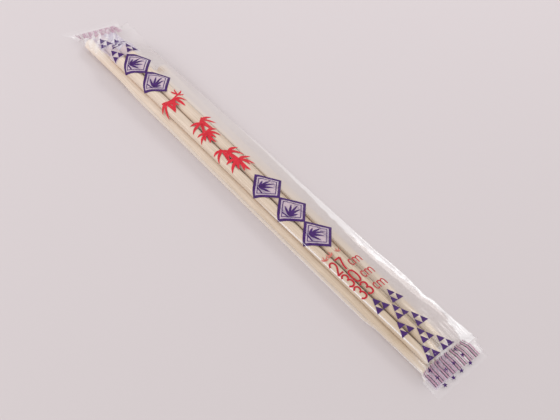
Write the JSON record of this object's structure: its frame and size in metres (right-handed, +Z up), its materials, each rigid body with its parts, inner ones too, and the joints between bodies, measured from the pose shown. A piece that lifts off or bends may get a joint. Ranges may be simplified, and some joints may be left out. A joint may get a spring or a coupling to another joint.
{
  "type": "wrapped bamboo chopsticks",
  "caption": "Set of round tapered bamboo cooking chopsticks in paired lengths, lying nested and sealed in a clear printed film sleeve with crimped ends.",
  "frame": {"origin": "centre of the underside of the whole pack's box, on the surface it lies on", "axes": "+X along the pack from the sticks' thick heads to their tips, +Y across it towards the slack fold, +Z up"},
  "size_m": [0.3696, 0.049, 0.0156],
  "materials": {
    "clear_film": "clear glossy film",
    "bamboo": "pale, fine sanded, unvarnished"
  },
  "bodies": {
    "root": {"film_sleeve": "clear_film", "chopstick_33cm_left": "bamboo", "chopstick_33cm_right": "bamboo", "chopstick_30cm_left": "bamboo", "chopstick_30cm_right": "bamboo", "chopstick_27cm_left": "bamboo", "chopstick_27cm_right": "bamboo"}
  },
  "joints": []
}
